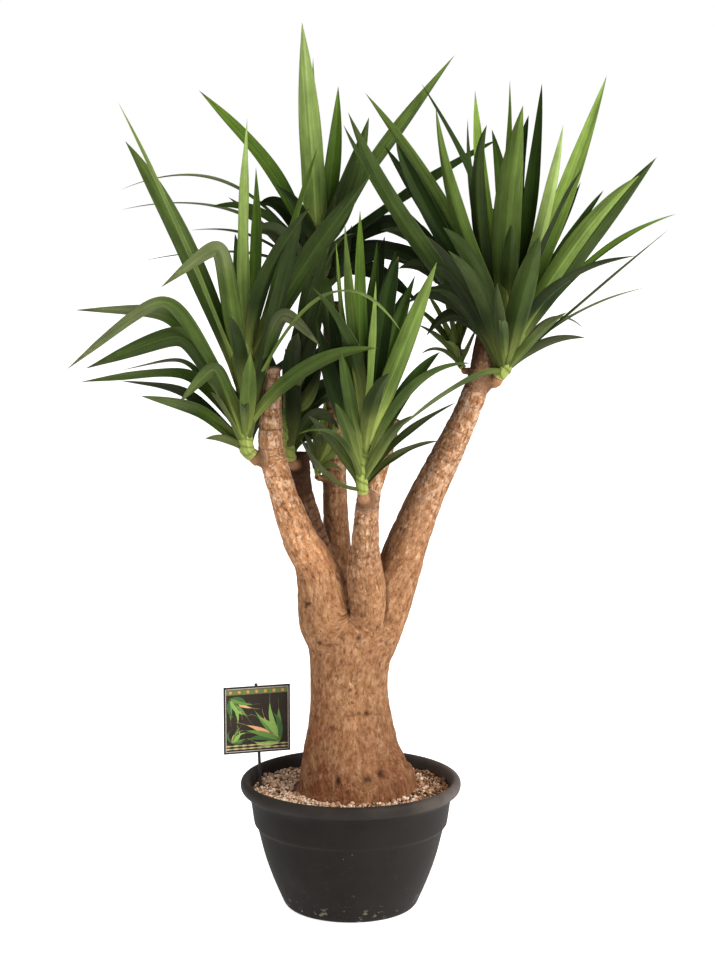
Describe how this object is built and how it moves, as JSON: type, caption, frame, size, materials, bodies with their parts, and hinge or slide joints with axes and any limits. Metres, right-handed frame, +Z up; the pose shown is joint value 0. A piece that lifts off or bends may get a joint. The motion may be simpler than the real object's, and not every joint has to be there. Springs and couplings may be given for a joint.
{
  "type": "potted yucca",
  "caption": "Branched yucca: bare woody canes on a swollen foot, heads of long sword-shaped leaves, in a round black plastic pot of potting mix with a square plant card on a stake",
  "frame": {"origin": "centre of the flat underside of the pot, on the surface that the plant stands on", "axes": "+Z up along the trunk; -Y towards the side that faces the viewer, with the plant card on its left; +X to that viewer's right"},
  "size_m": [0.9657, 0.6594, 1.42],
  "materials": {
    "pot": "matt, faintly dusty",
    "soil": "crumbly potting mix with pale granules",
    "bark": "rough, fissured bark",
    "leaf": "satin living leaf",
    "card": "printed, satin",
    "stake": "matt"
  },
  "bodies": {
    "root": {"pot": "pot", "soil": "soil", "trunk": "bark", "head_left": "leaf", "head_front": "leaf", "head_right": "leaf", "head_right_small": "leaf", "head_back_top": "leaf", "head_back_low": "leaf", "head_second_left": "leaf", "label_card": "card", "label_stake": "stake"}
  },
  "joints": []
}
